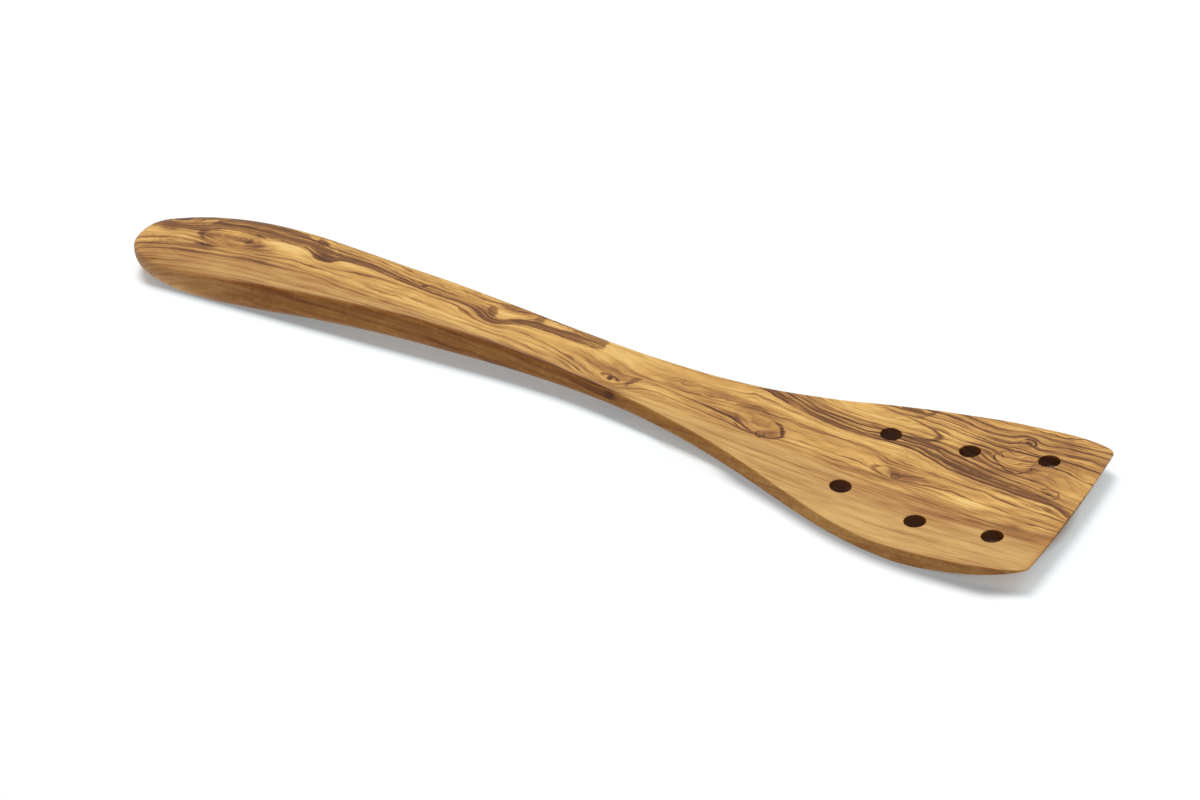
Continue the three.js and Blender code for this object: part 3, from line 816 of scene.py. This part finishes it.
# Pin knots: place, radius, and how dark the core is and how dark the ring round it
PIN_KNOTS = (
    (-54.7, 3.6, 1, 0.9, 0),
    (11.1, -6.9, 1.15, 0.95, 0),
    (57.6, -5.2, 1.15, 0.3, 1),
    (98.4, -3.2, 1.05, 0.4, 1),
    (-113, 1.5, 1.3, 0.7, 0.3),
    (125.6, 26, 1, 0.8, 0.3),
    (140.5, 4.4, 0.8, 0.7, 0),
)

# How long a pin knot is for its width. Its core ends, and its ring starts and ends, between these shares of
# its size.
PIN_STRETCH = 1.15
PIN_CORE = (0.5, 1)
PIN_RING_STARTS = (0.65, 0.95)
PIN_RING_ENDS = (0.95, 1.35)

# Growth lines: share of the waves that they follow, how early one takes over from the last, width of the dark
# edge, and how sharply its fade starts, how far it runs and how dark it is
LINE_WAVE = 0.6
LINE_LEAD = 0.3
LINE_EDGE = 0.45
FADE_START = 0.1
FADE_REACH = 1.3
FADE_DARK = 0.55

# Finer layers: thickness, drift, the part of each that is late wood, and how few of them are dark
LAYER = 0.8
LAYER_DRIFT = 6.0
LATE_SPAN = (0.5, 0.98)
LATE_POWER = 1.5

# Patterns that follow the grain: length, width, depth and detail
RAG = (9, 0.7, 12, 3)
DRIFT = (45, 4, 30, 2)
STREAKS = (34, 0.7, 20, 4)
FINE = (14, 0.3, 10, 2)
CLOUD = (26, 6, 20, 2)
MOTTLE = (7, 1.4, 8, 3)
LONG_FRAY = (12, 0.8, 12, 3)
FIBRE = (6, 0.14, 4, 2)

# Patterns that don't follow it: length, width, detail and strength
LONG_WAVE = (9, 5, 2, 2)
SHORT_WAVE = (3.6, 2.2, 2, 0.9)
KNOT_WOBBLE = (6, 4, 1, 0.9)
PIN_WOBBLE = (1.1, 1.1, 2, 0.8)
SHORT_FRAY = (2.6, 1.4, 3, 0.8)
SAW_MARKS = (1.6, 0.9, 3, 0.9)

# How far the long fray moves the edges of the dark streaks
LONG_FRAY_SIZE = 0.9

# What a value does: two levels of it, and its effect below the first and above the second
PLAIN_WAVE = (0, 1, 0.25, 1)
LINE_RAG = (-0.2, 0.16, 0.3, 1.15)
OUTLINE_RAG = (-0.2, 0.1, 0.6, 1.1)
HEART_EDGE = (0.3, 0.7, 0, 0.92)
FIBRE_BROWN = (0.02, 0.28, 0, 0.4)
BURNISHED_LIT_SHARE = (-0.2, 0.2, 0.1, 0.65)

# Colours of the wood, and the tint that its sawn sides take, partly their own tone and partly painted shade
PALE = srgb(240, 200, 126)
GOLDEN = srgb(226, 178, 102)
TAN = srgb(198, 149, 84)
BROWN = srgb(156, 107, 62)
UMBER = srgb(116, 77, 50)
DARKEST = srgb(86, 53, 35)
STRIP_LIGHT = srgb(216, 174, 108)
STRIP_DARK = srgb(168, 116, 66)
# The next colour is the bores' drilling burn together with the painted shade inside them
BURNT_AND_SHADED = srgb(88, 44, 18)
# The next colour is the front edge's burnish together with painted light for the lit edge
BURNISHED_LIT_EDGE = srgb(192, 122, 58)
SIDE_TINT_AND_SHADE = (0.52, 0.375, 0.19, 1)

# Kinds of wood: colours from dark to pale, the middle tone, and how far each pattern moves it
FIGURED = (
    ((0, DARKEST), (0.14, UMBER), (0.34, BROWN), (0.56, TAN), (0.78, GOLDEN), (1, PALE)),
    0.67,
    {"lined": 0.9, "fine": 0.4, "mottle": 0.55, "cloud": 0.5, "patch": 0.36, "knots": 1, "line": -0.72,
     "late": -0.5},
)
HEART = (
    ((0, DARKEST), (0.4, UMBER), (0.72, BROWN), (1, TAN)),
    0.5,
    {"streaks": 2.2, "fine": 0.8, "mottle": 0.8, "patch": 0.3, "line": -0.35},
)
STRIP = (
    ((0, UMBER), (0.3, STRIP_DARK), (1, STRIP_LIGHT)),
    0.66,
    {"streaks": 1, "fine": 1, "mottle": 0.5, "cloud": 0.8, "patch": 0.4, "line": -0.6},
)

# Oil finish: roughness, how unevenly it is spread, shine, and the relief of the fibres
ROUGHNESS = 0.5
ROUGHNESS_SPREAD = 0.16
SHINE = 0.18
RELIEF_STRENGTH = 0.3
RELIEF = 0.05


class Wood(Graph):
    """Adds what the wood's patterns share, with places in millimetres in the shared frame."""

    def __init__(self, material):
        super().__init__(material)
        self.x, self.y, self.z = self.split(self.place_in_mm())
        self.aside = self.stored("aside")
        self.across = self.stored("across")
        self.strength = self.stored("lines") + 1

    def grained(self, level, length, width, depth, detail):
        """A pattern round 0 that follows the grain."""
        return self.noise(self.vector(self.x / length, level / width, self.z / depth), detail) - 0.5

    def speckled(self, length, width, detail, strength):
        """A pattern round 0 that doesn't follow the grain."""
        return self.grained(self.y, length, width, length, detail) * strength

    def away_from(self, at_x, at_y, half_length, half_width, turn=0):
        """Place from the middle of an oval, at a distance of 1 on its outline, and that distance."""
        c, s = math.cos(math.radians(turn)), math.sin(math.radians(turn))
        dx = self.x - at_x
        dy = self.aside - at_y
        u = dx * (c / half_length) + dy * (s / half_length)
        v = dx * (-s / half_width) + dy * (c / half_width)
        place = self.vector(u, v, 0)
        return place, self.length(place)


def growth(graph):
    """Each growth line's place and darkness, and the level in the grain, which rises evenly between lines."""
    share = graph.x / LENGTH + 0.5
    lines = []
    grain = None
    level = None
    for points in GROWTH_LINES:
        ahead, across, darkness = zip(*points)
        shares = [at / LENGTH + 0.5 for at in ahead]
        heights = [place / LINES_SPREAD + 0.5 for place in across]
        height, dark, _ = graph.curves(share, zip(shares, heights), zip(shares, darkness))
        place = (height - 0.5) * LINES_SPREAD
        mean = float(np.interp(np.linspace(0, 1, MEAN_SAMPLES), shares, across).mean())
        if lines:
            before = lines[-1][0]
            place = graph.most(place, before + LEAST_GAP)
            inputs = {"Value": graph.across, "From Min": before, "From Max": place, "To Max": mean - level}
            grain = grain + graph.value("MapRange", inputs)
        else:
            grain = mean
        level = mean
        lines.append((place, dark))
    return lines, grain


def bent_round_knots(graph, level):
    """Bends the grain round the oval knots. Gives the bent level, the knots' tone and their outlines."""
    wobble = graph.speckled(*KNOT_WOBBLE)
    tone = 0
    outlines = 0
    for at_x, at_y, half_length, half_width, turn, push, fill, outline, facing in OVAL_KNOTS:
        place, off = graph.away_from(at_x, at_y, half_length, half_width, turn)
        toward = (math.cos(math.radians(facing)), math.sin(math.radians(facing)), 0)
        faced = graph.on_vectors("DOT_PRODUCT", place, toward, output="Value")
        off = off + wobble * min(1, KNOT_WOBBLES_TO / half_length)
        near = graph.step(off, 0, KNOT_REACH, 1, 0)
        level = level + near * push
        tone = tone + near * fill
        edge = graph.step(abs(off - 1) * half_width, *OUTLINE_EDGE, outline, 0)
        outlines = graph.most(outlines, edge * graph.step(faced, *OUTLINE_FACING))
    return level, tone, outlines


def drawn_lines(graph, lines, wavy):
    """Growth lines: a dark edge that fades off towards the far side."""
    last, darkness = lines[0]
    for place, dark in lines[1:]:
        reached = graph.math("GREATER_THAN", wavy, place - LINE_LEAD)
        last = graph.choose(reached, last, place)
        darkness = graph.choose(reached, darkness, dark)
    beyond = wavy - last
    edge = graph.step(abs(beyond), 0, LINE_EDGE, 1, 0)
    started = graph.step(beyond, -FADE_START, FADE_START)
    fade = started * graph.step(beyond, FADE_START, FADE_REACH, FADE_DARK, 0)
    return darkness * graph.strength * graph.most(edge, fade)


def late_wood(graph, level):
    """The dark side of the finer layers between the growth lines."""
    phase = level / LAYER + graph.grained(level, *DRIFT) * LAYER_DRIFT
    layer = graph.math("FLOOR", phase)
    shade = graph.value("TexWhiteNoise", {"W": layer}, "Value", noise_dimensions="1D")
    return graph.step(phase - layer, *LATE_SPAN) * graph.math("POWER", shade, LATE_POWER)


def toned(graph, patterns, kind):
    """One kind of wood in colour."""
    colours, tone, moves = kind
    for name, amount in moves.items():
        tone = tone + patterns[name] * amount
    return graph.ramp(tone, colours)


def with_pin_knots(graph, wood):
    """Darkens a colour at the pin knots."""
    wobble = graph.speckled(*PIN_WOBBLE)
    for at_x, at_y, radius, core, ring in PIN_KNOTS:
        _, off = graph.away_from(at_x, at_y, PIN_STRETCH * radius, radius)
        off = off + wobble
        middle = graph.step(off, *PIN_CORE, core, 0)
        ringed = graph.step(off, *PIN_RING_STARTS) * graph.step(off, *PIN_RING_ENDS, ring, 0)
        wood = graph.mix(graph.most(middle, ringed), wood, DARKEST)
    return wood


def wood_material():
    """Olive wood: golden layers, dark heartwood streaks, pin knots, fine fibres and a satin oil finish."""
    material = bpy.data.materials.new("olive_wood")
    material.use_nodes = True
    graph = Wood(material)
    lines, grain = growth(graph)
    figured = graph.step(grain, *PLAIN_SPAN)
    wave = graph.speckled(*LONG_WAVE) + graph.speckled(*SHORT_WAVE)
    wave = wave * graph.step(figured, *PLAIN_WAVE)
    level, knots, outlines = bent_round_knots(graph, grain + wave)

    rag = graph.grained(level, *RAG)
    line = drawn_lines(graph, lines, graph.across + wave * LINE_WAVE) * graph.step(rag, *LINE_RAG)
    line = graph.most(line, outlines * graph.step(rag, *OUTLINE_RAG))
    streaks = graph.grained(level, *STREAKS)
    fine = graph.grained(level, *FINE)
    mottle = graph.grained(level, *MOTTLE)
    patterns = {
        "cloud": graph.grained(level, *CLOUD),
        "streaks": streaks,
        "lined": graph.strength * streaks,
        "late": graph.strength * late_wood(graph, level),
        "mottle": mottle,
        "fine": fine,
        "patch": graph.stored("tone"),
        "knots": knots,
        "line": line,
    }
    fray = graph.grained(level, *LONG_FRAY) * LONG_FRAY_SIZE + graph.speckled(*SHORT_FRAY)
    heart = graph.step(graph.stored("dark") + fray, *HEART_EDGE)
    wood = graph.mix(heart, toned(graph, patterns, FIGURED), toned(graph, patterns, HEART))
    wood = graph.mix(figured, toned(graph, patterns, STRIP), wood)
    wood = with_pin_knots(graph, wood)

    fibre = graph.grained(level, *FIBRE)
    wood = graph.mix(graph.step(fibre, *FIBRE_BROWN), wood, BROWN)
    # Sawn sides: their own darker tone together with painted shade on faces turned away from the top
    side = graph.stored("side")
    wood = graph.mix(side + side * graph.speckled(*SAW_MARKS), wood, SIDE_TINT_AND_SHADE, "MULTIPLY")
    # Front edge: burnish together with painted light where that edge is lit
    polished_and_lit = graph.stored("burnished_lit_edge") * graph.step(mottle, *BURNISHED_LIT_SHARE)
    wood = graph.mix(polished_and_lit, wood, BURNISHED_LIT_EDGE)
    # Bores: drilling burn together with painted shade down inside the holes
    wood = graph.mix(graph.stored("bore_burn_and_shade"), wood, BURNT_AND_SHADED)

    relief = {"Strength": RELIEF_STRENGTH, "Distance": RELIEF * MM, "Height": fibre + fine}
    graph.feed(graph.shader, {
        "Base Color": wood,
        "Roughness": fine * ROUGHNESS_SPREAD + ROUGHNESS,
        "Specular IOR Level": SHINE,
        "Normal": graph.value("Bump", relief),
    })
    return material


# Camera: turn round the part and height above the table in degrees, distance, aim, how far it looks right of
# the aim and above it for each millimetre of distance, lens, and the nearest and farthest that it sees
CAMERA_TURN = 27.97
CAMERA_HEIGHT = 33.715
CAMERA_DISTANCE = 1214.04
CAMERA_AIM = (-1.25, 0, 8.01)
CAMERA_ASIDE = (0.0043748, -0.00784)
SENSOR = 36
LENS = 127.95
CLIP = (10, 50000)

# Light: brightness of a white level surface, the fill's share of it, and the key's direction and its width in
# degrees
FLOOR_LEVEL = 1.05
FILL_LEVEL = 0.38
KEY_TOWARD = (-0.22, 0.07, 0.97)
KEY_SOFTNESS = 26

# The table, in metres, and its colour
TABLE_REACH = 3.0
TABLE_COLOUR = (0.97, 0.97, 0.97, 1)

# The table's shadow is lifted by this share towards this colour, and more ahead of the blade. It isn't lifted
# in an oval under the blade with this middle, these half sizes and this soft rim.
TABLE_GLOW = 0.2
GLOW_COLOUR = (1, 1.2, 1.3, 1)
AHEAD_GLOW = 0.42
AHEAD_SPAN = (142, 152)
BLADE_MIDDLE = (LENGTH / 2 - 34, 0, 0)
BLADE_HALVES = (34, 36, 1000)
BLADE_RIM = (0.85, 1)

# Beside the handle it is lifted wholly. The soft rim of that stretch slants along the handle, turns away from
# one place on and ends under the neck.
LIFT_RIM = (-8.8, -3.5)
LIFT_SLANT = 0.033
LIFT_TURNS_AT = -30
LIFT_TURN = 0.0019
LIFT_ENDS = (24, 40)

# Beside the blade's near edge the table is shaded to this grey. The shade starts and ends between these
# places along the part, and between these distances from the edge, which are negative under the blade.
EDGE_SHADE = (0.34, 0.34, 0.34, 1)
EDGE_STARTS = (46, 60)
EDGE_ENDS = (138, 150)
EDGE_INSIDE = (-4, -1)
EDGE_OUTSIDE = (-0.7, 5)
EDGE_POINTS = 12

# Rays that see the shadow lifted and shaded
SEEN_BY = ("Is Camera Ray", "Is Glossy Ray", "Is Transmission Ray")


def aimed(name, data, place, toward):
    """A camera or a light that looks one way."""
    made = bpy.data.objects.new(name, data)
    made.location = place
    made.rotation_mode = "QUATERNION"
    made.rotation_quaternion = toward.to_track_quat("-Z", "Y")
    bpy.context.scene.collection.objects.link(made)
    return made


def camera():
    """Stands at the photograph's viewing angle, on a long lens."""
    turn = math.radians(CAMERA_TURN)
    height = math.radians(CAMERA_HEIGHT)
    right = Vector((math.cos(turn), math.sin(turn), 0))
    level = Vector((math.sin(turn), -math.cos(turn), 0))
    back = level * math.cos(height) + Vector((0, 0, math.sin(height)))
    up = back.cross(right)
    look = -back + CAMERA_ASIDE[0] * right + CAMERA_ASIDE[1] * up
    data = bpy.data.cameras.new("camera")
    data.sensor_width = SENSOR
    data.lens = LENS
    data.clip_start = CLIP[0] * MM
    data.clip_end = CLIP[1] * MM
    place = (Vector(CAMERA_AIM) + back * CAMERA_DISTANCE) * MM
    bpy.context.scene.camera = aimed("camera", data, place, look)


def shadow_lift(graph, place):
    """How far the table's shadow is lifted, from 0 to 1, and the colour that it is lifted to."""
    x, y, _ = graph.split(place)
    on_neck = graph.most(x - LIFT_TURNS_AT, 0)
    off_handle = y - graph.math("MINIMUM", x, 0) * LIFT_SLANT + on_neck * on_neck * LIFT_TURN
    beside = graph.step(off_handle, *LIFT_RIM, 1, 0) * graph.step(x, *LIFT_ENDS, 1, 0)
    lift = graph.most(graph.step(x, *AHEAD_SPAN, TABLE_GLOW, AHEAD_GLOW), beside)
    to_blade = graph.on_vectors("SUBTRACT", place, BLADE_MIDDLE)
    off_blade = graph.length(graph.on_vectors("DIVIDE", to_blade, BLADE_HALVES))
    return lift * graph.step(off_blade, *BLADE_RIM), graph.mix(lift, GLOW_COLOUR, (1, 1, 1, 1))


def edge_shade(graph, place):
    """How far the table is shaded beside the blade's near edge, from 0 to 1, and the colour of the shade."""
    x, y, _ = graph.split(place)
    run = LENGTH / 2 - EDGE_STARTS[0]
    shares = np.linspace(0, 1, EDGE_POINTS)
    widths = half_width_at(LENGTH - run + run * shares) / LENGTH
    half_width = graph.curves((x - EDGE_STARTS[0]) / run, zip(shares, widths))[0] * LENGTH
    past = (y + half_width) * -1
    across = graph.step(past, *EDGE_INSIDE) * graph.step(past, *EDGE_OUTSIDE, 1, 0)
    lengthwise = graph.step(x, *EDGE_STARTS) * graph.step(x, *EDGE_ENDS, 1, 0)
    return across * lengthwise, EDGE_SHADE


def table_material():
    """Plain white. Only what is seen of its shadow is lifted or shaded, not the light that it throws back."""
    material = bpy.data.materials.new("table")
    material.use_nodes = True
    graph = Graph(material)
    graph.feed(graph.shader, {"Base Color": TABLE_COLOUR, "Roughness": 1, "Specular IOR Level": 0})
    rays = graph.node("LightPath", {}).outputs
    seen = 0
    for kind in SEEN_BY:
        seen = graph.most(seen, Value(graph, rays[kind]))
    place = graph.place_in_mm()
    surface = Value(graph, graph.shader.outputs[0])
    for share, colour in (shadow_lift(graph, place), edge_shade(graph, place)):
        glow = graph.value("Emission", {"Color": colour})
        surface = graph.value("MixShader", {0: seen * share, 1: surface, 2: glow})
    graph.feed(graph.tree.nodes["Material Output"], {"Surface": surface})
    return material


def studio():
    """A white table, an even fill and one broad soft light from above and behind."""
    scene = bpy.context.scene
    scene.view_settings.view_transform = "Standard"
    corners = TABLE_REACH * np.array([(-1, -1, 0), (1, -1, 0), (1, 1, 0), (-1, 1, 0)])
    table = new_object("table", corners, [(0, 1, 2, 3)])
    table.data.materials.append(table_material())

    world = bpy.data.worlds.new("studio")
    scene.world = world
    world.use_nodes = True
    fill = world.node_tree.nodes["Background"]
    fill.inputs["Color"].default_value = (1, 1, 1, 1)
    fill.inputs["Strength"].default_value = FILL_LEVEL

    data = bpy.data.lights.new("key", "SUN")
    data.angle = math.radians(KEY_SOFTNESS)
    toward = Vector(KEY_TOWARD).normalized()
    data.energy = (FLOOR_LEVEL - FILL_LEVEL) * math.pi / toward.z
    aimed("key", data, toward, -toward)


camera()
spatula = drilled_body()
paint_figure(spatula)
spatula.data.materials.append(wood_material())
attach(spatula, "root")
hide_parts("spatula_body")
studio()
